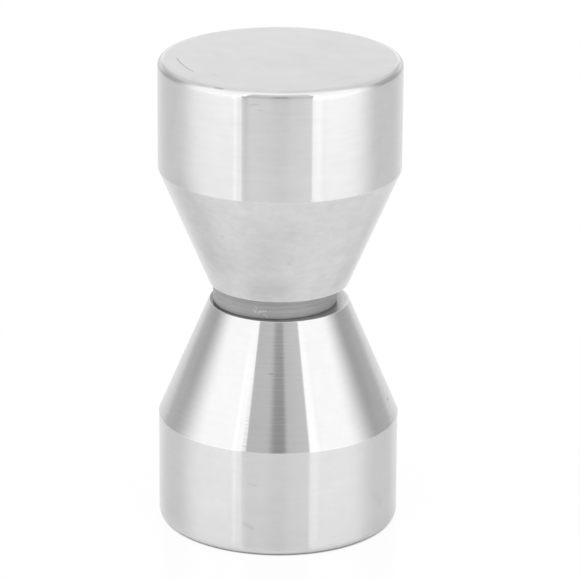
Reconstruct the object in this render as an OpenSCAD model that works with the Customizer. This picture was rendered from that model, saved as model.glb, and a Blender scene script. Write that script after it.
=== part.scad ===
// Back-to-back knob for a glass door: two alike turned knobs screwed together on one
// headless stud, with two soft washers between them that grip the glass.
// The origin is the centre of the lower knob's end face, and +Z runs up the common axis.

/* [Knobs] */
// Outside diameter of each knob
knob_d = 30; // [26:0.5:40]
// Length of the straight grip
grip_len = 13.65; // [10:0.05:20]
// Length of the cone between the grip and the neck
cone_len = 14.8; // [10:0.1:22]
// Diameter of the neck, the small face that bears on a washer
neck_d = 17.4; // [15:0.1:24]
// Radius of the round on the edge of the outer end
end_round = 0.8; // [0.3:0.05:2]
// Width of the broken edge round the neck
neck_break = 0.2; // [0.1:0.05:0.5]

/* [Washers] */
// Outside diameter of a washer
washer_d = 15.5; // [13:0.1:20]
// Thickness of a washer
washer_t = 1.25; // [0.8:0.05:3]
// Radial slack of a washer on the stud
washer_slack = 0.6; // [0.3:0.05:1]
// Gap that is left at the stud where the loose washers have slipped towards -X
washer_gap = 0.1; // [0.05:0.05:0.3]
// Width of the broken edges of a washer
washer_break = 0.12; // [0.05:0.01:0.2]

/* [Stud and thread] */
// Nominal diameter of the thread
thread_d = 8; // [6:1:10]
// Rise of the thread in one turn
thread_pitch = 1.25; // [1:0.05:1.5]
// Radial slack between the stud and the tapped holes
thread_slack = 0.16; // [0.12:0.01:0.2]
// Length of the stud
stud_len = 35; // [25:0.5:42]
// Gap between the stud's ends and the bottoms of the tapped holes
stud_end_gap = 0.4; // [0.2:0.1:1]
// Depth of the hexagon socket
socket_depth = 4.5; // [3:0.5:6]

/* [Hidden] */
$fn = 96;

// Facets in each turn of the thread, and points in each round of an outline
THREAD_SIDES = 20;
ROUND_POINTS = 10;

// Depth of a 60 degree thread as a share of its pitch, half its crest's flat, and its flanks' run
THREAD_DEPTH = 0.6134;
CREST_HALF = 1 / 16;
FLANK_RUN = THREAD_DEPTH * tan(30);

// One turn of the thread from the middle of a crest: [share of the pitch, share of the depth]
TURN = [
    [-CREST_HALF, 1],
    [CREST_HALF, 1],
    [CREST_HALF + FLANK_RUN, 0],
    [1 - CREST_HALF - FLANK_RUN, 0],
];

// Half the point angle of the drill that makes the holes, and the countersink at their mouths
DRILL_HALF_ANGLE = 59;
COUNTERSINK = 0.5;

// How far a cut runs past the surface that it starts from
OVERCUT = 2;

knob_r = knob_d / 2;
neck_r = neck_d / 2;
knob_len = grip_len + cone_len;
cone_angle = atan((knob_r - neck_r) / cone_len);
mid_z = knob_len + washer_t;

stud_r = thread_d / 2;
root_r = stud_r - THREAD_DEPTH * thread_pitch;
stud_half = stud_len / 2;
hole_end = stud_half + stud_end_gap;
drill_r = root_r * cos(180 / THREAD_SIDES);
// Headless screws take a hexagon key half as wide across its flats as their thread
socket_r = thread_d / 4 / cos(30);
washer_bore_r = stud_r + washer_slack;
washer_shift = washer_slack - washer_gap;

// Points of an arc in an outline
function arc(centre, r, from, to) = [
    for (k = [0 : ROUND_POINTS])
        let (a = from + (to - from) * k / ROUND_POINTS)
        centre + r * [cos(a), sin(a)]
];

// The half of a knob's section to the right of its axis, measured from the plane between the washers
knob_outline = concat(
    [
        [0, washer_t],
        [neck_r - neck_break, washer_t],
        [neck_r + neck_break * sin(cone_angle), washer_t + neck_break * cos(cone_angle)],
        [knob_r, washer_t + cone_len],
    ],
    arc([knob_r - end_round, mid_z - end_round], end_round, 0, 90),
    [[0, mid_z]]
);

// A right-handed thread from one height to another, with a crest in the direction of +X at height 0.
// Each column of points climbs its own side of the thread, and the last column meets the first one
// a turn higher. Points past an end move to it, and both ends are chamfered down to the root.
module thread(low, high, slack) {
    first_turn = floor(low / thread_pitch) - 2;
    turns = ceil(high / thread_pitch) + 2 - first_turn;
    steps = len(TURN);
    rows = turns * steps;

    function height(side, row) =
        thread_pitch * (first_turn + floor(row / steps) + TURN[row % steps][0] + side / THREAD_SIDES);
    function radius(row) = root_r + TURN[row % steps][1] * (stud_r - root_r) + slack;
    function lowest(side) = max([for (row = [0 : rows - 1]) if (height(side, row) <= low) row]);
    function highest(side) = min([for (row = [0 : rows - 1]) if (height(side, row) >= high) row]);

    sides = [for (side = [0 : THREAD_SIDES - 1]) [lowest(side), highest(side)]];
    function point(side, row) = let (
        h = min(max(height(side, row), low), high),
        r = min(radius(row), root_r + min(h - low, high - h)),
        a = 360 * side / THREAD_SIDES
    ) [r * cos(a), r * sin(a), h];
    // Number of the point in a row of a side, where the side after the last is the first, a turn on
    function index(side, row) =
        side == THREAD_SIDES
        ? index(0, row + steps)
        : side * rows + min(max(row, sides[side][0]), sides[side][1]);

    points = [for (side = [0 : THREAD_SIDES - 1], row = [0 : rows - 1]) point(side, row)];
    corners = [
        for (side = [0 : THREAD_SIDES - 1], row = [-steps : rows - 2])
            let (
                a = index(side, row),
                b = index(side + 1, row),
                c = index(side + 1, row + 1),
                d = index(side, row + 1)
            )
            each [[a, c, b], [a, d, c]]
    ];
    walls = [for (t = corners) if (t[0] != t[1] && t[1] != t[2] && t[2] != t[0]) t];
    bottom = [for (side = [0 : THREAD_SIDES - 1]) index(side, sides[side][0])];
    top = [for (side = [THREAD_SIDES - 1 : -1 : 0]) index(side, sides[side][1])];
    polyhedron(points, concat(walls, [bottom, top]));
}

// A blind tapped hole up from the plane between the washers, with a drilled point and a countersink
module tapped_hole() {
    mouth_r = stud_r + thread_slack + COUNTERSINK;
    thread(washer_t - OVERCUT, hole_end, thread_slack);
    translate([0, 0, hole_end - stud_end_gap / 2])
        cylinder(r1 = drill_r, r2 = 0, h = drill_r / tan(DRILL_HALF_ANGLE));
    translate([0, 0, washer_t - OVERCUT])
        cylinder(r1 = mouth_r + OVERCUT, r2 = 0, h = mouth_r + OVERCUT);
}

// A knob above the plane between the washers
module knob() {
    color("silver") difference() {
        rotate_extrude() polygon(knob_outline);
        tapped_hole();
    }
}

// A flat soft washer that stands on the plane below it
module washer() {
    half = washer_d / 2;
    color("darkgray") translate([-washer_shift, 0, 0]) rotate_extrude() polygon([
        [washer_bore_r, 0],
        [half - washer_break, 0],
        [half, washer_break],
        [half, washer_t - washer_break],
        [half - washer_break, washer_t],
        [washer_bore_r, washer_t],
    ]);
}

module lower_knob() {
    translate([0, 0, mid_z]) rotate([180, 0, 0]) knob();
}

module lower_washer() {
    translate([0, 0, mid_z - washer_t]) washer();
}

// The headless stud, with a hexagon socket in its upper end
module stud() {
    color("dimgray") translate([0, 0, mid_z]) difference() {
        thread(-stud_half, stud_half, 0);
        translate([0, 0, stud_half - socket_depth])
            cylinder(r = socket_r, h = socket_depth + OVERCUT, $fn = 6);
    }
}

module upper_washer() {
    translate([0, 0, mid_z]) washer();
}

module upper_knob() {
    translate([0, 0, mid_z]) knob();
}

lower_knob();
lower_washer();
stud();
upper_washer();
upper_knob();
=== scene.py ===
import math

import bpy
from mathutils import Matrix, Vector


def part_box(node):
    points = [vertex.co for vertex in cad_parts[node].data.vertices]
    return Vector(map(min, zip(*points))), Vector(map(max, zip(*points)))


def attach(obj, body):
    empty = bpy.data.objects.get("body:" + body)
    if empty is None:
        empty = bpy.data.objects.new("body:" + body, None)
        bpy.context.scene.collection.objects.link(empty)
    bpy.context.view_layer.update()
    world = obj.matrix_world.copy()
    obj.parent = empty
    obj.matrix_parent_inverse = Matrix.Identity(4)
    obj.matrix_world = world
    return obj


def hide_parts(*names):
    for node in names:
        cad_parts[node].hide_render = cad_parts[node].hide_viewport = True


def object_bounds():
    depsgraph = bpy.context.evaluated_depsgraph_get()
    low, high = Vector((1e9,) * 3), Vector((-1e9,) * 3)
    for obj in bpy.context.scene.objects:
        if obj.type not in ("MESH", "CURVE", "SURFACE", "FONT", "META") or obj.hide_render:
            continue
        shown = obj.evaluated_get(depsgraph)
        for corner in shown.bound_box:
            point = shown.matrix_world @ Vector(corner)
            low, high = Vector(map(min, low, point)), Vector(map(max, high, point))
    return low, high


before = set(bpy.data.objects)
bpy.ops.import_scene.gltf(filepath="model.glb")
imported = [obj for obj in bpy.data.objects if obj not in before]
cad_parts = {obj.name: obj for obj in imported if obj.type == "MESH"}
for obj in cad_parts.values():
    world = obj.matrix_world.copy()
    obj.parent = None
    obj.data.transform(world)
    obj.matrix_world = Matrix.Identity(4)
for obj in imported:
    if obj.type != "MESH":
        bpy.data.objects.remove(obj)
cad_low, cad_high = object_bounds()

MM = 0.001
MICRON = 0.001 * MM


# Sizes

def width(low, high):
    """The narrower of a round piece's two widths, so that what is turned to it stays in its box."""
    return min(high.x - low.x, high.y - low.y)


knob_low, knob_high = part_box("upper_knob")
washer_low, washer_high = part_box("upper_washer")
stud_low, stud_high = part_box("stud")

KNOB_R = width(knob_low, knob_high) / 2
KNOB_LEN = knob_high.z - knob_low.z
WASHER_R = width(washer_low, washer_high) / 2
WASHER_T = washer_high.z - washer_low.z
WASHER_X = (washer_low.x + washer_high.x) / 2
STUD_R = width(stud_low, stud_high) / 2
STUD_HALF = (stud_high.z - stud_low.z) / 2

# The plane between the washers, which the knobs mirror each other in
MID_Z = washer_low.z

# A knob's grip, neck, and the rounds on its edges
GRIP_LEN = 13.65 * MM
NECK_R = 8.7 * MM
END_ROUND = 0.8 * MM
SHOULDER_ROUND = 0.12 * MM
NECK_ROUND = 0.10 * MM

# The M8 thread, the tapped hole with its drilled point, and the stud's hexagon socket
PITCH = 1.25 * MM
THREAD_DEPTH = 0.6134 * PITCH
THREAD_FLANK_ANGLE = math.radians(30)
THREAD_SLACK = 0.16 * MM
HOLE_END_GAP = 0.4 * MM
COUNTERSINK = 0.5 * MM
DRILL_R = 0.98 * (STUD_R - THREAD_DEPTH)
DRILL_HALF_ANGLE = math.radians(59)
SOCKET_R = STUD_R / 2 / math.cos(math.radians(30))
SOCKET_DEPTH = 4.5 * MM
OVERCUT = 2 * MM

# The washers' bore, rounded edges and the swell of their squeezed rims
WASHER_BORE_R = STUD_R + 0.6 * MM
WASHER_ROUND = 0.06 * MM
WASHER_SWELL = 0.05 * MM

# The turning tool's step along the steel in one turn
TURNING_FEED = 0.33 * MM

# How far the shoulder and the neck's edge lie from the middle of the end face, along a knob's outline
SHOULDER_ALONG = KNOB_R + END_ROUND * (math.pi / 2 - 2) + GRIP_LEN
NECK_ALONG = SHOULDER_ALONG + math.hypot(KNOB_LEN - GRIP_LEN, KNOB_R - NECK_R)

# How finely the pieces are turned
TURN_SEGMENTS = 256
ROW_LEN = 0.5 * MM
ROUND_POINTS = 10
WASHER_ROW_LEN = 0.3 * MM
WASHER_ROUND_POINTS = 6
THREAD_SIDES = 48

# Points this near are merged, a face with this much of its normal upright is level, and an edge past
# this angle is sharp
MERGE = 0.5 * MICRON
LEVEL_FACE = 0.999
SHARP_ANGLE = math.radians(32)


# Node trees written as expressions

def grey(level):
    """A colour of one level."""
    return (level, level, level, 1.0)


def operator_pair(operation):
    """A Math operation as an operator of a wire, and its reflected form."""

    def forward(wire, other):
        return wire.math(operation, wire, other)

    def reflected(wire, other):
        return wire.math(operation, other, wire)

    return forward, reflected


class Wire:
    """An output socket of a node tree, with the operators that the trees here are written in."""

    __add__, __radd__ = operator_pair("ADD")
    __sub__, __rsub__ = operator_pair("SUBTRACT")
    __mul__, __rmul__ = operator_pair("MULTIPLY")
    __truediv__, __rtruediv__ = operator_pair("DIVIDE")
    __mod__, __rmod__ = operator_pair("FLOORED_MODULO")

    def __init__(self, tree, socket=None):
        self.tree = tree
        self.socket = socket

    def node(self, kind, settings=(), sockets=(), out=0):
        """Adds a node: its settings first, then the values or links of its sockets."""
        made = self.tree.nodes.new(kind)
        for name, value in dict(settings).items():
            setattr(made, name, value)
        for name, value in dict(sockets).items():
            for one in value if isinstance(value, list) else [value]:
                self.put(made.inputs[name], one)
        return Wire(self.tree, made.outputs[out] if len(made.outputs) else None)

    def put(self, socket, value):
        """Links a wire to a socket, or sets the socket to a plain value."""
        if isinstance(value, Wire):
            self.tree.links.new(value.socket, socket)
        else:
            socket.default_value = value

    def out(self, name):
        """Another output of the same node."""
        return Wire(self.tree, self.socket.node.outputs[name])

    def math(self, operation, *values):
        """A Math node on some values."""
        return self.node("ShaderNodeMath", {"operation": operation}, enumerate(values))

    def vector(self, operation, *values, out=0):
        """A Vector Math node on some values."""
        return self.node("ShaderNodeVectorMath", {"operation": operation}, enumerate(values), out)

    def __abs__(self):
        return self.math("ABSOLUTE", self)

    def least(self, other):
        return self.math("MINIMUM", self, other)

    def most(self, other):
        return self.math("MAXIMUM", self, other)

    def above(self, other):
        return self.math("GREATER_THAN", self, other)

    def below(self, other):
        return self.math("LESS_THAN", self, other)

    def hypot(self, other):
        """The long side of the right-angled triangle on this length and another."""
        return self.math("SQRT", self * self + other * other)

    def rise(self, start, end, low=0.0, high=1.0):
        """Goes smoothly from low to high as this value goes from start to end."""
        sockets = {0: self, 1: start, 2: end, 3: low, 4: high}
        return self.node("ShaderNodeMapRange", {"interpolation_type": "SMOOTHSTEP"}, sockets)

    def toward(self, other, share):
        """From this value to another one, by a share from 0 to 1."""
        return self + (other - self) * share

    def pick(self, values):
        """The value in a list that this whole number counts to."""
        made = self.node("GeometryNodeIndexSwitch", {"data_type": "FLOAT"}).socket.node
        for _ in values[2:]:
            made.index_switch_items.new()
        self.put(made.inputs[0], self)
        for place, value in enumerate(values):
            self.put(made.inputs[place + 1], value)
        return Wire(self.tree, made.outputs[0])

    def noise(self, scale, detail, roughness, dimensions="3D"):
        """Noise from 0 to 1 over this vector, or along this value where it has one dimension."""
        sockets = {"W" if dimensions == "1D" else "Vector": self}
        sockets |= {"Scale": scale, "Detail": detail, "Roughness": roughness}
        return self.node("ShaderNodeTexNoise", {"noise_dimensions": dimensions}, sockets)

    def sway(self, amount):
        """This noise as a change by up to half an amount, up or down."""
        return (self - 0.5) * amount

    def near(self, value, reach):
        """1 where this is a value, down to 0 at a distance from it."""
        return 1 - abs(self - value).rise(0, reach)

    def stroke(self, start, end, reach):
        """1 where this place is on the line between two points, down to 0 at a distance from it."""
        span = end - start
        from_start = self.vector("SUBTRACT", self, start)
        share = self.vector("DOT_PRODUCT", from_start, span / span.length_squared, out="Value")
        sockets = {0: span, "Scale": share.most(0).least(1)}
        foot = self.node("ShaderNodeVectorMath", {"operation": "SCALE"}, sockets)
        return 1 - self.vector("DISTANCE", from_start, foot, out="Value").rise(0, reach)

    def as_grey(self):
        """This value, held between 0 and 1, as a grey colour."""
        sockets = {0: self, 6: grey(0.0), 7: grey(1.0)}
        return self.node("ShaderNodeMix", {"data_type": "RGBA"}, sockets, out=2)

    def split(self):
        """The three parts of this vector."""
        parts = self.node("ShaderNodeSeparateXYZ", {}, {0: self})
        return [parts.out(axis) for axis in "XYZ"]


# Geometry trees

def geometry_tree(name, inputs):
    """The named inputs of a new geometry tree, each given as a socket type or a number to start at."""
    tree = bpy.data.node_groups.new(name, "GeometryNodeTree")
    tree.interface.new_socket("Geometry", in_out="OUTPUT", socket_type="NodeSocketGeometry")
    for label, start in inputs.items():
        if isinstance(start, str):
            tree.interface.new_socket(label, in_out="INPUT", socket_type=start)
            continue
        kind = "NodeSocketInt" if isinstance(start, int) else "NodeSocketFloat"
        tree.interface.new_socket(label, in_out="INPUT", socket_type=kind).default_value = start
    source = Wire(tree).node("NodeGroupInput")
    return {label: source.out(label) for label in inputs}


def end_tree(geometry):
    """Joins a geometry to its tree's output."""
    geometry.node("NodeGroupOutput", {}, {0: geometry})
    return geometry.tree


def end_smooth(geometry):
    """Ends a tree in a mesh whose meeting points are merged, shaded smooth."""
    sockets = {"Geometry": geometry, "Distance": MERGE}
    merged = geometry.node("GeometryNodeMergeByDistance", {}, sockets)
    return end_tree(merged.node("GeometryNodeSetShadeSmooth", {"domain": "FACE"}, {"Geometry": merged}))


def finish_tree(geometry, material, flat_material=None):
    """Ends a piece's tree: one plain geometry in its material, or in another one on its level faces."""
    whole = geometry.node("GeometryNodeRealizeInstances", {}, {0: geometry})
    whole = whole.node("GeometryNodeSetMaterial", {}, {"Geometry": whole, "Material": material})
    if flat_material:
        _, _, up = whole.node("GeometryNodeInputNormal").split()
        sockets = {"Geometry": whole, "Selection": abs(up).above(LEVEL_FACE), "Material": flat_material}
        whole = whole.node("GeometryNodeSetMaterial", {}, sockets)
    return end_tree(whole)


def turning_tree():
    """Turns an outline in the XY plane, X out and Y up, round the Z axis."""
    sizes = {"Radius": KNOB_R, "Segments": TURN_SEGMENTS}
    sizes |= {"Row length": ROW_LEN, "Round points": ROUND_POINTS}
    given = geometry_tree("turned_outline", {"Outline": "NodeSocketGeometry", **sizes})
    w = given["Outline"]
    curve = w.node("GeometryNodeMeshToCurve", {}, {"Mesh": w})
    rounds = w.node("GeometryNodeInputNamedAttribute", {"data_type": "FLOAT"}, {"Name": "round"})
    sockets = {"Curve": curve, "Count": given["Round points"], "Radius": rounds, "Limit Radius": True}
    curve = w.node("GeometryNodeFilletCurve", {"mode": "POLY"}, sockets)

    # Long stretches are cut into rows, and every point keeps its distance along the outline
    place = w.node("GeometryNodeInputPosition")
    after = w.node("GeometryNodeInputIndex") + 1
    settings = {"data_type": "FLOAT_VECTOR"}
    following = w.node("GeometryNodeFieldAtIndex", settings, {"Value": place, "Index": after})
    stretch = w.vector("DISTANCE", place, following, out="Value")
    cuts = w.math("FLOOR", stretch / given["Row length"])
    curve = w.node("GeometryNodeSubdivideCurve", {}, {"Curve": curve, "Cuts": cuts})
    length = w.node("GeometryNodeSplineParameter", out="Length")
    settings = {"data_type": "FLOAT", "domain": "POINT"}
    sockets = {"Geometry": curve, "Name": "along", "Value": length}
    curve = w.node("GeometryNodeStoreNamedAttribute", settings, sockets)

    # The sweep measures the outline from its circle and turns it over, which is undone first
    inwards = w.node("ShaderNodeCombineXYZ", {}, {"X": 0 - given["Radius"]})
    sockets = {"Geometry": curve, "Translation": inwards, "Scale": (1, -1, 1)}
    curve = w.node("GeometryNodeTransform", {}, sockets)
    sockets = {"Resolution": given["Segments"], "Radius": given["Radius"]}
    circle = w.node("GeometryNodeCurvePrimitiveCircle", {"mode": "RADIUS"}, sockets)
    return end_smooth(w.node("GeometryNodeCurveToMesh", {}, {"Curve": circle, "Profile Curve": curve}))


def thread_tree():
    """A right-handed thread between two heights, chamfered to its root and closed at both ends.

    Each column of a grid climbs its own side of the thread. The last column meets the first one a turn
    higher, points past an end move to it, and the grid's first and last rows close the ends on the axis.
    """
    sizes = {"Radius": STUD_R, "Depth": THREAD_DEPTH, "Pitch": PITCH}
    sizes |= {"Low": -STUD_HALF, "High": STUD_HALF, "Sides": THREAD_SIDES}
    given = geometry_tree("screw_thread", sizes)
    radius, depth, pitch, low, high, sides = given.values()
    w = radius

    # One turn's section: the crest, a flank, the rounded root and a flank, as shares of pitch and depth
    half_crest = 1 / 16
    near_root = 0.88
    flank = THREAD_DEPTH / PITCH * math.tan(THREAD_FLANK_ANGLE) * near_root
    heights = [-half_crest, half_crest, half_crest + flank, 0.5, 1 - half_crest - flank]
    depths = [1.0, 1.0, 1 - near_root, 0.0, 1 - near_root]
    steps = len(heights)
    spare_turns = 2
    end_rows = 2

    first = w.math("FLOOR", low / pitch) - spare_turns
    rows = (w.math("CEIL", high / pitch) + spare_turns - first) * steps + end_rows
    sockets = {"Size X": 1.0, "Size Y": 1.0, "Vertices X": sides + 1, "Vertices Y": rows}
    grid = w.node("GeometryNodeMeshGrid", {}, sockets)
    across, up, _ = w.node("GeometryNodeInputPosition").split()
    side = w.math("ROUND", (across + 0.5) * sides)
    row = w.math("ROUND", (up + 0.5) * (rows - 1))
    step = (row - 1) % steps
    turn = w.math("FLOOR", (row - 1) / steps)
    height = pitch * (first + turn + step.pick(heights) + side / sides)
    height = height.most(low).least(high)
    off_axis = row.above(0.5) * row.below(rows - end_rows + 0.5)
    from_end = (height - low).least(high - height)
    reach = (radius - depth + (step.pick(depths) * depth).least(from_end)) * off_axis
    angle = side / sides * math.tau
    sockets = {"X": reach * w.math("COSINE", angle), "Y": reach * w.math("SINE", angle), "Z": height}
    place = w.node("ShaderNodeCombineXYZ", {}, sockets)
    return end_smooth(w.node("GeometryNodeSetPosition", {}, {"Geometry": grid, "Position": place}))


TURNING = turning_tree()
THREAD = thread_tree()


def cone(w, base_r, height, z):
    """A cone that stands on a height, on the axis."""
    sockets = {"Vertices": THREAD_SIDES, "Radius Top": 0.0, "Radius Bottom": base_r, "Depth": height}
    made = w.node("GeometryNodeMeshCone", {"fill_type": "NGON"}, sockets)
    return w.node("GeometryNodeTransform", {}, {"Geometry": made, "Translation": (0, 0, z)})


def cut_away(body, cutters):
    """A body with closed shapes cut out of it."""
    settings = {"operation": "DIFFERENCE", "solver": "MANIFOLD"}
    return body.node("GeometryNodeMeshBoolean", settings, {"Mesh 1": body, "Mesh 2": cutters})


def knob_tree(material, flat_material):
    """A turned knob with a blind tapped hole, above the plane between the washers."""
    sizes = {"Hole mouth": WASHER_T, "Hole end": STUD_HALF + HOLE_END_GAP, "Slack": THREAD_SLACK}
    given = geometry_tree("knob", {"Outline": "NodeSocketGeometry", **sizes})
    w = given["Outline"]
    body = w.node("GeometryNodeGroup", {"node_tree": TURNING}, {"Outline": w})
    start = given["Hole mouth"] - OVERCUT
    sockets = {"Radius": given["Slack"] + STUD_R, "Low": start, "High": given["Hole end"]}
    tapped = w.node("GeometryNodeGroup", {"node_tree": THREAD}, sockets)
    point_len = DRILL_R / math.tan(DRILL_HALF_ANGLE)
    point = cone(w, DRILL_R, point_len, STUD_HALF + HOLE_END_GAP / 2)
    mouth_r = STUD_R + THREAD_SLACK + COUNTERSINK + OVERCUT
    sink = cone(w, mouth_r, mouth_r, WASHER_T - OVERCUT)
    return finish_tree(cut_away(body, [tapped, point, sink]), material, flat_material)


def washer_tree(material):
    """A soft ring, turned from its section."""
    sizes = {"Row length": WASHER_ROW_LEN, "Round points": WASHER_ROUND_POINTS}
    given = geometry_tree("washer", {"Outline": "NodeSocketGeometry", **sizes})
    ring = given["Outline"].node("GeometryNodeGroup", {"node_tree": TURNING}, given)
    return finish_tree(ring, material)


def stud_tree(material):
    """A headless screw with a hexagon socket in its upper end."""
    sizes = {"Half length": STUD_HALF, "Socket radius": SOCKET_R, "Socket depth": SOCKET_DEPTH}
    given = geometry_tree("stud", {"Outline": "NodeSocketGeometry", **sizes})
    w = given["Half length"]
    body = w.node("GeometryNodeGroup", {"node_tree": THREAD}, {"Low": 0 - w, "High": w})
    tall = given["Socket depth"] + OVERCUT
    sockets = {"Vertices": 6, "Radius": given["Socket radius"], "Depth": tall}
    socket = w.node("GeometryNodeMeshCylinder", {"fill_type": "NGON"}, sockets)
    lift = w.node("ShaderNodeCombineXYZ", {}, {"Z": w - given["Socket depth"] + tall / 2})
    socket = w.node("GeometryNodeTransform", {}, {"Geometry": socket, "Translation": lift})
    return finish_tree(cut_away(body, socket), material)


def outline_mesh(name, points, closed=False):
    """An outline as edges in the XY plane, each point a radius, a height and the round of its corner."""
    mesh = bpy.data.meshes.new(name)
    count = len(points)
    edges = [(i, (i + 1) % count) for i in range(count if closed else count - 1)]
    mesh.from_pydata([(r, z, 0) for r, z, _ in points], edges, [])
    rounds = mesh.attributes.new("round", "FLOAT", "POINT")
    rounds.data.foreach_set("value", [p[2] for p in points])
    return mesh


def run_tree(name, outline, tree, place):
    """A plain mesh object made by a geometry tree from an outline, with its place in its mesh."""
    source = bpy.data.objects.new(name + "_source", outline)
    bpy.context.scene.collection.objects.link(source)
    modifier = source.modifiers.new("shape", "NODES")
    modifier.node_group = tree
    for item in tree.interface.items_tree:
        if item.in_out == "INPUT" and item.socket_type != "NodeSocketGeometry":
            modifier[item.identifier] = item.default_value
    bpy.context.view_layer.update()
    depsgraph = bpy.context.evaluated_depsgraph_get()
    mesh = bpy.data.meshes.new_from_object(source.evaluated_get(depsgraph))
    bpy.data.objects.remove(source)

    # Shapes that were made without a material leave empty slots
    for slot in reversed(range(len(mesh.materials))):
        if mesh.materials[slot] is None:
            mesh.materials.pop(index=slot)
    mesh.name = name
    mesh.transform(place)
    mesh.set_sharp_from_angle(angle=SHARP_ANGLE)
    piece = bpy.data.objects.new(name, mesh)
    bpy.context.scene.collection.objects.link(piece)
    return piece


# Marks of use, and painted shade on the upper cone

def point_at(bearing, reach, z, centre_x=0.0):
    """A point by its bearing from the camera in degrees, to the right, and its reach from an axis."""
    turn = math.radians(bearing)
    return Vector((centre_x + reach * math.sin(turn), -reach * math.cos(turn), z))


def on_side(bearing, height):
    """A point on a knob's side, by its bearing and its height in mm."""
    from_neck = abs(height * MM - MID_Z) - WASHER_T
    reach = min(KNOB_R, NECK_R + from_neck * (KNOB_R - NECK_R) / (KNOB_LEN - GRIP_LEN))
    return point_at(bearing, reach, height * MM)


def on_top(bearing, reach):
    """A point level with the upper end face, by its bearing and its distance from the axis in mm."""
    return point_at(bearing, reach * MM, cad_high.z)


def on_rim(bearing, height):
    """A point on the washers' rims, by its bearing and its height in mm."""
    return point_at(bearing, WASHER_R, height * MM, WASHER_X)


# On the sides: where each mark or patch of painted shade starts and ends, its half width in mm and how
# much it darkens the steel
SIDE_MARKS_AND_SHADE = [
    (on_top(-32, 14.74), on_top(-28, 14.70), 0.28, 0.60),
    (on_side(-14, 57.8), on_side(-10, 57.9), 0.14, 0.16),
    (on_side(-10, 57.2), on_side(-8, 57.2), 0.14, 0.12),
    (on_side(-43, 52.7), on_side(-40, 52.7), 0.20, 0.05),
    (on_side(-34, 40.0), on_side(-32, 40.1), 0.22, 0.14),
    (on_side(5, 36.8), on_side(6, 36.8), 0.16, 0.18),
    (on_side(46, 32.4), on_side(50, 32.2), 0.80, 0.10),
    # Painted shade: these four broad patches darken the upper cone toward its neck at the front, and down
    # its left and right
    (on_side(-14, 32.4), on_side(0, 32.4), 3.40, 0.14),
    (on_side(-10, 36.0), on_side(-4, 40.5), 5.60, 0.09),
    (on_side(-47, 36.5), on_side(-50, 44.5), 4.60, 0.14),
    (on_side(60, 34.0), on_side(62, 42.0), 3.20, 0.09),
    (on_side(-6, 22.6), on_side(-4, 22.6), 0.16, 0.28),
    (on_side(77.8, 16.15), on_side(79.6, 16.15), 0.24, 0.38),
    (on_side(-14, 9.5), on_side(-10, 9.3), 0.14, 0.16),
    (on_side(-16, 4.2), on_side(-12, 3.6), 0.45, 0.10),
    (on_side(53, 5.8), on_side(58, 4.4), 1.00, 0.06),
    (on_side(66, 6.7), on_side(67, 6.7), 0.25, 0.08),
]

# On the upper end face, a curved scratch and a few faint spots, given in the same way
SCRATCH = [
    on_top(-89 + 29 * share, 12.1 + 0.5 * (1 - share) ** 2)
    for share in (0, 0.25, 0.5, 0.75, 1)
]
TOP_MARKS = [(start, end, 0.16, 0.40) for start, end in zip(SCRATCH, SCRATCH[1:])] + [
    (on_top(-47, 10.8), on_top(-46, 10.9), 0.60, 0.07),
    (on_top(33, 11.5), on_top(50, 11.7), 0.35, 0.05),
    (on_top(-157, 10.9), on_top(-156, 10.9), 0.50, 0.06),
    (on_top(-136, 5.0), on_top(-134, 5.0), 0.50, 0.06),
]

# Pale scuffs on the washers: where each starts and ends, and its half width in mm
WASHER_SCUFFS = [
    (on_rim(-17.5, 29.85), on_rim(-17.0, 29.65), 0.12),
    (on_rim(-18.5, 29.25), on_rim(-17.5, 29.25), 0.12),
    (on_rim(-14.0, 29.35), on_rim(-12.5, 29.30), 0.14),
    (on_rim(-9.0, 29.45), on_rim(-8.0, 29.40), 0.12),
    (on_rim(-8.0, 28.75), on_rim(-7.0, 28.75), 0.12),
    (on_rim(-20.0, 29.50), on_rim(-19.0, 29.40), 0.10),
    (on_rim(-16.0, 29.10), on_rim(-15.0, 29.15), 0.10),
    (on_rim(-11.0, 29.55), on_rim(-10.5, 29.35), 0.10),
    (on_rim(-10.0, 29.00), on_rim(-9.5, 28.90), 0.10),
]


def worn_and_shaded(tone, place, marks):
    """A steel's tone, darker where it is marked or has painted shade."""
    for start, end, reach, depth in marks:
        tone = tone * (1 - place.stroke(start, end, reach * MM) * depth)
    return tone


# Materials

def new_material(name):
    """A new material, the start of its tree and its Principled shader."""
    material = bpy.data.materials.new(name)
    material.use_nodes = True
    return material, Wire(material.node_tree), material.node_tree.nodes["Principled BSDF"]


def place_in(w):
    """A surface's places, in the object's frame."""
    return w.node("ShaderNodeTexCoord", out="Object")


def along_outline(w):
    """How far a place lies along a knob's outline, from the middle of the end face."""
    return w.node("ShaderNodeAttribute", {"attribute_name": "along"}, out="Fac")


def set_finish(w, shader, tone, roughness, relief, depth, strength=1.0):
    """What changes over a surface: its grey tone, its roughness, and a fine relief of a depth."""
    w.put(shader.inputs["Base Color"], tone.as_grey())
    w.put(shader.inputs["Roughness"], roughness)
    sockets = {"Strength": strength, "Distance": depth, "Height": relief}
    w.put(shader.inputs["Normal"], w.node("ShaderNodeBump", {}, sockets))


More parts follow.
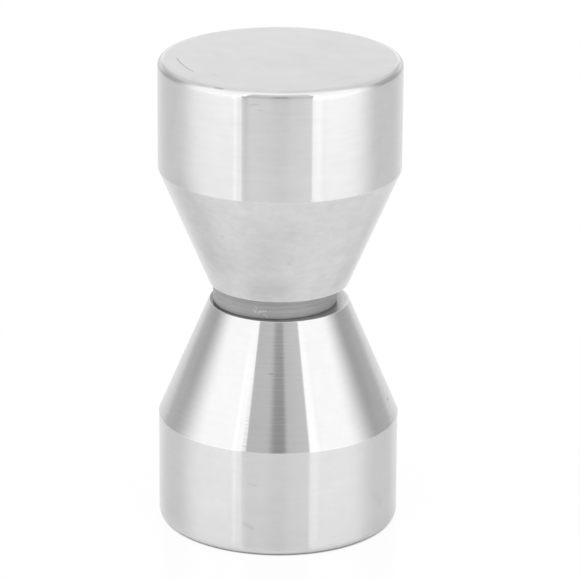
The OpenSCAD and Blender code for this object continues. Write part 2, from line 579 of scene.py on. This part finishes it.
def turned_steel():
    """Bright turned steel: rings round the axis, painted highlights on its edges, smudges and a sheen
    that runs up it.
    """
    material, w, shader = new_material("turned_steel")
    shader.inputs["Metallic"].default_value = 1.0
    shader.inputs["Anisotropic"].default_value = 1.0
    shader.inputs["Anisotropic Rotation"].default_value = 0.25
    place = place_in(w)
    along = along_outline(w)
    smudges = place.noise(scale=95.0, detail=4.0, roughness=0.6)
    patches = place.noise(scale=420.0, detail=3.0, roughness=0.6)
    flattened = place.vector("MULTIPLY", place, (150.0, 150.0, 1800.0))
    streaks = flattened.noise(scale=1.0, detail=3.0, roughness=0.65)
    flattened = place.vector("MULTIPLY", place, (900.0, 900.0, 1700.0))
    flecks = flattened.noise(scale=1.0, detail=2.0, roughness=0.6)
    hair = along.noise(scale=9000.0, detail=2.0, roughness=0.7, dimensions="1D")

    # Rings at three spacings, which waver and drift so that no two stretches look alike
    rings = 0
    waver = patches * 0.03 * MM
    for spacing in (1.0, 1.8, 2.9):
        turns = (along + waver) * (math.tau / TURNING_FEED / spacing)
        drift = w.math("SINE", turns * 0.13) * 2
        rings = rings + w.math("SINE", turns + drift) * 0.5

    # The upper cone has been handled, so it is more mottled. It also carries painted shade, a little
    # darker all over, and the shoulders and the necks' edges carry a painted highlight, brightest at the
    # upper neck.
    on_cone = along.above(SHOULDER_ALONG)
    on_upper_cone = on_cone * place.split()[2].above(MID_Z)
    # Painted highlight: a lighter line along the shoulders and the necks' edges, strongest at the upper
    # neck
    edges = along.near(SHOULDER_ALONG, 0.09 * MM) * 0.25
    edges = edges.most(along.near(NECK_ALONG, 0.2 * MM) * (0.3 + on_upper_cone * 0.7))
    mottle = smudges.sway(0.07) + patches.sway(0.06) + streaks.sway(0.05) + flecks.sway(0.03)
    tone = 0.70 + mottle * (1 - on_cone * 0.3) + mottle * on_upper_cone * 0.3
    # On the upper cone, more flecks and patches from handling, and painted shade a little darker all
    # over; on the edges, the painted highlight
    tone = tone + (flecks.sway(0.08) + patches.sway(0.08) - 0.03) * on_upper_cone + edges * 0.2
    roughness = 0.10 + smudges.sway(0.03) + streaks.sway(0.02)
    relief = (rings * 0.28 + hair * 0.2) * (0.25 + on_cone) + streaks * 0.1
    set_finish(w, shader, worn_and_shaded(tone, place, SIDE_MARKS_AND_SHADE), roughness, relief, depth=3.2 * MICRON)
    return material


def faced_steel():
    """The knobs' level faces: satin steel with fine rings, and painted shade on the neck, deepest by the
    washer.
    """
    material, w, shader = new_material("faced_steel")
    shader.inputs["Metallic"].default_value = 1.0
    place = place_in(w)
    along = along_outline(w)
    smudges = place.noise(scale=110.0, detail=4.0, roughness=0.6)
    patches = place.noise(scale=420.0, detail=3.0, roughness=0.6)
    rings = along.noise(scale=5200.0, detail=2.0, roughness=0.6, dimensions="1D")

    # Painted shade on the neck's ledge, deepest by the washer. On the left the painted shade by the
    # washer is deeper and covers the ledge's edge; further right the edge is left unshaded.
    x, y, _ = place.split()
    on_neck = along.above(SHOULDER_ALONG)
    from_washer = (x - WASHER_X).hypot(y)
    washer_shade = on_neck * (1 - from_washer.rise(WASHER_R + 0.1 * MM, WASHER_R + 1.2 * MM))
    unshaded_edge = x.hypot(y).rise(NECK_R - 0.35 * MM, NECK_R - 0.15 * MM)
    unshaded_edge = unshaded_edge * x.rise(-7 * MM, -4 * MM)
    washer_shade_depth = 0.35 - x.rise(-8 * MM, -5 * MM) * 0.15 - unshaded_edge * 0.18
    tone = 0.655 - on_neck * (0.10 - unshaded_edge * 0.10) - washer_shade * washer_shade_depth
    tone = tone + smudges.sway(0.14) + patches.sway(0.06) + rings.sway(0.03 + on_neck * 0.15)
    roughness = 0.24 + smudges.sway(0.06) + rings.sway(0.05)
    set_finish(w, shader, worn_and_shaded(tone, place, TOP_MARKS), roughness, rings, depth=3 * MICRON)
    return material


def soft_plastic():
    """Grey soft plastic, a little cloudy, with fine rings, a stretch of painted light and pale scuffs."""
    material, w, shader = new_material("soft_plastic")
    shader.inputs["Subsurface Weight"].default_value = 0.2
    shader.inputs["Subsurface Radius"].default_value = (MM, MM, MM)
    place = place_in(w)
    x, _, z = place.split()
    clouds = place.noise(scale=300.0, detail=3.0, roughness=0.6)
    grain = place.noise(scale=4000.0, detail=2.0, roughness=0.5)
    rings = z.noise(scale=2600.0, detail=1.0, roughness=0.5, dimensions="1D")
    # Painted light: a lighter stretch of the rims a little right of the middle
    painted_light = x.near(2.5 * MM, 4 * MM)
    scuffs = place.noise(scale=1500.0, detail=1.0, roughness=0.5).rise(0.68, 0.76)
    scuffs = scuffs * place.noise(scale=160.0, detail=1.0, roughness=0.5).rise(0.5, 0.66)
    for start, end, reach in WASHER_SCUFFS:
        scuffs = scuffs.most(place.stroke(start, end, reach * MM))
    tone = 0.365 + clouds.sway(0.12) + rings.sway(0.12) + painted_light * 0.04 + scuffs * 0.3
    set_finish(w, shader, tone, 0.45 + clouds.sway(0.2), grain, depth=5 * MICRON, strength=0.3)
    return material


def rolled_steel():
    """The stud's steel: bright on the crests of its thread, darker and oily at the root."""
    material, w, shader = new_material("rolled_steel")
    shader.inputs["Metallic"].default_value = 1.0
    place = place_in(w)
    x, y, _ = place.split()
    crest = x.hypot(y).rise(STUD_R - THREAD_DEPTH, STUD_R)
    clouds = place.noise(scale=500.0, detail=3.0, roughness=0.6)
    grain = place.noise(scale=6000.0, detail=2.0, roughness=0.5)
    tone = 0.3 + crest * 0.25 + clouds.sway(0.1)
    roughness = 0.34 - crest * 0.08 + clouds.sway(0.15)
    set_finish(w, shader, tone, roughness, grain, depth=6 * MICRON, strength=0.4)
    return material


# Pieces

STEEL = turned_steel()
FACED_STEEL = faced_steel()
PLASTIC = soft_plastic()
STUD_STEEL = rolled_steel()

KNOB_TREE = knob_tree(STEEL, FACED_STEEL)
WASHER_TREE = washer_tree(PLASTIC)
STUD_TREE = stud_tree(STUD_STEEL)

UPRIGHT = Matrix.Translation((0, 0, MID_Z))
TURNED_OVER = UPRIGHT @ Matrix.Rotation(math.pi, 4, "X")


def knob(name, node, body, place):
    """A turned knob, from the middle of its end face round to the middle of its neck."""
    end_z = WASHER_T + KNOB_LEN
    points = [
        (0, end_z, 0),
        (KNOB_R, end_z, END_ROUND),
        (KNOB_R, end_z - GRIP_LEN, SHOULDER_ROUND),
        (NECK_R, WASHER_T, NECK_ROUND),
        (0, WASHER_T, 0),
    ]
    piece = run_tree(name, outline_mesh(name + "_outline", points), KNOB_TREE, place)
    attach(piece, body)
    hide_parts(node)


def washer(name, node, body, low_z):
    """A flat soft ring whose squeezed rim swells a little."""
    rim = WASHER_R - WASHER_SWELL
    points = [
        (WASHER_BORE_R, WASHER_T, WASHER_ROUND),
        (rim, WASHER_T, WASHER_ROUND),
        (WASHER_R, WASHER_T / 2, WASHER_R),
        (rim, 0, WASHER_ROUND),
        (WASHER_BORE_R, 0, WASHER_ROUND),
    ]
    place = Matrix.Translation((WASHER_X, 0, low_z))
    piece = run_tree(name, outline_mesh(name + "_outline", points, closed=True), WASHER_TREE, place)
    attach(piece, body)
    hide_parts(node)


def stud():
    """The headless screw that joins the knobs. Its tree makes all of it, so its outline is empty."""
    outline = bpy.data.meshes.new("stud_outline")
    piece = run_tree("threaded_stud", outline, STUD_TREE, UPRIGHT)
    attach(piece, "lower_knob")
    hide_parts("stud")


knob("lower_turned_knob", "lower_knob", "lower_knob", TURNED_OVER)
washer("lower_soft_washer", "lower_washer", "lower_knob", MID_Z - WASHER_T)
stud()
washer("upper_soft_washer", "upper_washer", "upper_washer", MID_Z)
knob("upper_turned_knob", "upper_knob", "upper_knob", UPRIGHT)


# Studio

FLOOR_R = 3.0
FLOOR_HOLE_R = KNOB_R - END_ROUND - 0.3 * MM
FLOOR_DROP = 0.01 * MM
DOME_R = 0.30
DOME_ROWS = 24
STAGE_SIDES = 96

# The dome's highest level: its colours are shares of this emission strength
BRIGHTEST = 2.0


def stage_piece(name, mesh, material):
    """A piece of the studio, which isn't part of the object."""
    mesh.materials.append(material)
    piece = bpy.data.objects.new(name, mesh)
    bpy.context.scene.collection.objects.link(piece)
    return piece


def bare_material(name):
    """A new material with nothing but its output, the start of its tree and the output's surface."""
    material = bpy.data.materials.new(name)
    material.use_nodes = True
    tree = material.node_tree
    tree.nodes.remove(tree.nodes["Principled BSDF"])
    return material, Wire(tree), tree.nodes["Material Output"].inputs["Surface"]


def mixed(share, first, second):
    """From one shader to another, by a share from 0 to 1."""
    return share.node("ShaderNodeMixShader", {}, {0: share, 1: first, 2: second})


def white_world():
    """White to the camera, and soft broad bands of light to what reflects it from under the floor."""
    world = bpy.data.worlds.new("white_surround")
    bpy.context.scene.world = world
    world.use_nodes = True
    w = Wire(world.node_tree)
    x, y, _ = w.node("ShaderNodeTexCoord", out="Generated").split()
    band_count = 6
    bands = 0.8 + w.math("SINE", w.math("ARCTAN2", x, y) * band_count) * 0.2
    seen = w.node("ShaderNodeLightPath", out="Is Camera Ray")
    background = world.node_tree.nodes["Background"]
    w.put(background.inputs["Color"], bands.most(seen).as_grey())
    background.inputs["Strength"].default_value = 1.0


def floor_mesh():
    """A level ring, with its hole where the object stands."""
    mesh = bpy.data.meshes.new("floor")
    turns = [math.tau * side / STAGE_SIDES for side in range(STAGE_SIDES)]
    radii = (FLOOR_HOLE_R, FLOOR_R)
    verts = [(r * math.cos(turn), r * math.sin(turn), -FLOOR_DROP) for r in radii for turn in turns]
    pairs = [(side, (side + 1) % STAGE_SIDES) for side in range(STAGE_SIDES)]
    mesh.from_pydata(verts, [], [(a, STAGE_SIDES + a, STAGE_SIDES + b, b) for a, b in pairs])
    return mesh


def white_floor():
    """A satin white floor that keeps a share of the shadow by the object, and is clear from below.

    To the camera it is almost white. In the object's reflections it is dimmer, but paler at the back and
    on the left by the object.
    """
    material, w, surface = bare_material("white_floor")
    x, y, _ = place_in(w).split()
    away = x.hypot(y)
    paint = w.node("ShaderNodeBsdfDiffuse", {}, {"Color": grey(0.87)})
    sockets = {"Base Color": grey(1.0), "Metallic": 1.0, "Roughness": 0.13}
    polish = w.node("ShaderNodeBsdfPrincipled", {}, sockets)
    facing = w.node("ShaderNodeLayerWeight", {}, {"Blend": 0.5}, out="Facing")
    satin = mixed(facing.rise(0.3, 0.9, 0.03, 0.6), paint, polish)

    rays = w.node("ShaderNodeLightPath")
    seen = rays.out("Is Camera Ray") * away.rise(KNOB_R, 5 * KNOB_R, 0.93, 1.0)
    # Painted light in the object's reflections of the floor: a share of white glow, more at the back, and
    # by the object more on the left and none on the right
    at_back = y.rise(10 * MM, 60 * MM) * 0.17
    by_edge = 1 - away.rise(KNOB_R, KNOB_R + 4 * MM)
    by_edge = by_edge * x.rise(-10 * MM, 10 * MM, 0.25, -0.12)
    mirrored = rays.out("Is Glossy Ray").most(rays.out("Is Transmission Ray"))
    mirrored = mirrored * (0.12 + at_back + by_edge)
    past_edge = away.rise(KNOB_R - 0.6 * MM, KNOB_R - 0.1 * MM)
    white = w.node("ShaderNodeEmission", {}, {"Color": grey(1.0), "Strength": 1.0})
    lit = mixed(seen.most(mirrored) * past_edge, satin, white)

    clear = w.node("ShaderNodeBsdfTransparent")
    from_below = w.node("ShaderNodeNewGeometry", out="Backfacing")
    w.put(surface, mixed(from_below, lit, clear))
    stage_piece("floor", floor_mesh(), material)


def dome_mesh():
    """Half a globe, open to the floor."""
    mesh = bpy.data.meshes.new("light_dome")
    verts = [(0, 0, DOME_R)]
    for row in range(1, DOME_ROWS + 1):
        tilt = math.radians(90) * row / DOME_ROWS
        out = DOME_R * math.sin(tilt)
        for side in range(STAGE_SIDES):
            turn = math.tau * side / STAGE_SIDES
            verts.append((out * math.sin(turn), -out * math.cos(turn), DOME_R * math.cos(tilt)))
    faces = [(0, 1 + side, 1 + (side + 1) % STAGE_SIDES) for side in range(STAGE_SIDES)]
    for row in range(DOME_ROWS - 1):
        for side in range(STAGE_SIDES):
            a = 1 + row * STAGE_SIDES + side
            b = 1 + row * STAGE_SIDES + (side + 1) % STAGE_SIDES
            faces.append((a, a + STAGE_SIDES, b + STAGE_SIDES, b))
    mesh.from_pydata(verts, [], faces)
    return mesh


# The dome's panels. Bearings are in degrees round the axis from the camera, to the right. Heights are in
# degrees above the plane between the washers, from the axis. A level of 1 is white.

CRISP_BLUR = 0.3


def panel(angle, start, end, start_blur, end_blur):
    """1 between two angles, with blurred edges."""
    opens = angle.rise(start - start_blur, start + start_blur)
    return opens * (1 - angle.rise(end - end_blur, end + end_blur))


def near_floor(height):
    """1 where the dome meets the floor, down to 0 a little above it."""
    return 1 - height.rise(-1, 9)


def under_cone(height):
    """1 below the heights that the lower cone mirrors, 0 at them."""
    return 1 - height.rise(16.5, 19)


def surround(bearing, height):
    """The level of what the panels leave: dim flags, the backdrop, a paler band above and the ceiling."""
    off_axis = abs(bearing)
    at_floor = (1 - height.rise(0, 4)) * 0.075
    at_cone = panel(height, 14, 23, 3, 4) * 0.08
    flags = 0.505 - bearing.rise(-20, 20) * 0.02 + at_floor + at_cone
    middle = off_axis.rise(158, 170) * 0.23
    backdrop = 0.80 + height.rise(6, 15) * (0.17 + middle) - height.rise(14, 26) * 0.26
    level = flags.toward(backdrop, panel(off_axis, 140, 200, 13, 1))
    left_side = panel(bearing, -165, -80, 8, 15) * 0.13
    upper_band = 0.98 - bearing.rise(-20, 20) * 0.12 - left_side
    level = level.toward(upper_band, height.rise(22, 44))
    ceiling = 1.3 - off_axis.rise(70, 130) * 0.32
    return level.toward(ceiling, height.rise(50, 72))


def front_card(bearing, height):
    """The level and the reach of the card round the camera, with a dim slit and a seam by the floor."""
    low = near_floor(height)
    widening = 1 - height.rise(17.5, 23)
    slit_left = -6 - widening * 1.6
    slit_right = 6.5 + widening * 1.6
    slit_depth = 0.075 + height.rise(16, 18) * (0.165 + widening * 0.245)
    slit = panel(bearing, slit_left, slit_right, 5, 3) * (1 - height.rise(26, 38)) * slit_depth
    seam = bearing.near(-31, 4) * low * 0.25
    by_floor = low * (0.16 - bearing.rise(-15, 5) * 0.04)
    level = 0.655 + height.rise(20, 31) * 0.10 + height.rise(30, 65) * 0.12
    level = level + bearing.rise(5, 31) * 0.08 + by_floor - slit - seam
    return level, panel(bearing, -50, 50, 5, 5)


def left_softbox(bearing, height):
    """The level and the reach of the left softbox, whose inner edge is crisp and a little bent."""
    low = near_floor(height)
    under = under_cone(height)
    bright_line = bearing.near(-41.3, 2.6) * (under * 0.5 - low * 0.25)
    dim_line = bearing.near(-37.7, 1.5) * low * 0.25
    by_floor = low * bearing.rise(-85, -45) * 0.14
    level = 1.34 + bearing.rise(-44, -34) * 0.06 + by_floor + bright_line - dim_line
    outer_edge = -93.5 - low * 2
    outer_blur = 15 + under * 5
    inner_edge = -35.3 + height.rise(0, 14) * 1.5 + height.rise(16, 18) * 3.6 - height.rise(19, 24)
    return level, panel(bearing, outer_edge, inner_edge, outer_blur, CRISP_BLUR)


def right_softbox(bearing, height):
    """The level and the reach of the right softbox, whose inner edge is crisp and a little bent."""
    low = near_floor(height)
    under = under_cone(height)
    bright_line = bearing.near(35, 5) * under * 0.18
    dim_line = bearing.near(41, 2) * under * 0.09
    by_floor = low * (1 - bearing.rise(55, 100)) * 0.30
    level = 1.39 - bearing.rise(33, 42) * 0.05 + by_floor + bright_line - dim_line
    inner_edge = 30 - under * 0.8 + height.rise(20, 25) * 0.7
    outer_edge = 88.2 + low * 0.3
    outer_blur = 15 + under * 4
    return level, panel(bearing, inner_edge, outer_edge, CRISP_BLUR, outer_blur)


def light_dome():
    """A dome round the object whose panels are the studio's softboxes, card and backdrop."""
    material, w, surface = bare_material("light_dome")
    x, y, z = place_in(w).split()
    bearing = w.math("ARCTAN2", x, 0 - y) * math.degrees(1)
    height = w.math("ARCTAN2", z - MID_Z, x.hypot(y)) * math.degrees(1)
    below_ceiling = 1 - height.rise(52, 64)
    level = surround(bearing, height)
    for lit_panel in (front_card, left_softbox, right_softbox):
        panel_level, reach = lit_panel(bearing, height)
        level = level.toward(panel_level, reach * below_ceiling)
    colour = (level / BRIGHTEST).as_grey()
    w.put(surface, w.node("ShaderNodeEmission", {}, {"Color": colour, "Strength": BRIGHTEST}))
    stage_piece("light_dome", dome_mesh(), material).visible_camera = False


def looking(direction):
    """The turn of a lamp or a camera that looks in a direction."""
    return direction.to_track_quat("-Z", "Y").to_matrix().to_4x4()


def fill_lamp():
    """A broad soft lamp above the camera that no reflection shows."""
    data = bpy.data.lights.new("fill_lamp", "AREA")
    data.shape = "DISK"
    data.size = 0.25
    data.energy = 0.12
    lamp = bpy.data.objects.new("fill_lamp", data)
    bpy.context.scene.collection.objects.link(lamp)
    place = Vector((0, -0.12, 0.24))
    lamp.matrix_world = Matrix.Translation(place) @ looking(-place)
    lamp.visible_glossy = False


white_world()
white_floor()
light_dome()
fill_lamp()


# Camera

def aim_camera():
    """The photograph's view, as its outline fits it, in the photograph's own pixels."""
    elevation = math.radians(19.485)
    distance = 453.7 * MM
    image = 580
    pixels_per_radian = 3650.0
    centre_x, centre_y = 279.1, 288.6
    roll = math.radians(0.367)
    data = bpy.data.cameras.new("camera")
    data.sensor_width = 36.0
    data.lens = pixels_per_radian / image * data.sensor_width
    data.shift_x = 0.5 - centre_x / image
    data.shift_y = centre_y / image - 0.5
    camera = bpy.data.objects.new("camera", data)
    bpy.context.scene.collection.objects.link(camera)
    target = Vector((0, 0, MID_Z))
    back = Vector((0, -math.cos(elevation), math.sin(elevation)))
    place = Matrix.Translation(target + back * distance)
    camera.matrix_world = place @ looking(-back) @ Matrix.Rotation(roll, 4, "Z")
    bpy.context.scene.camera = camera


aim_camera()
bpy.context.scene.view_settings.view_transform = "Standard"
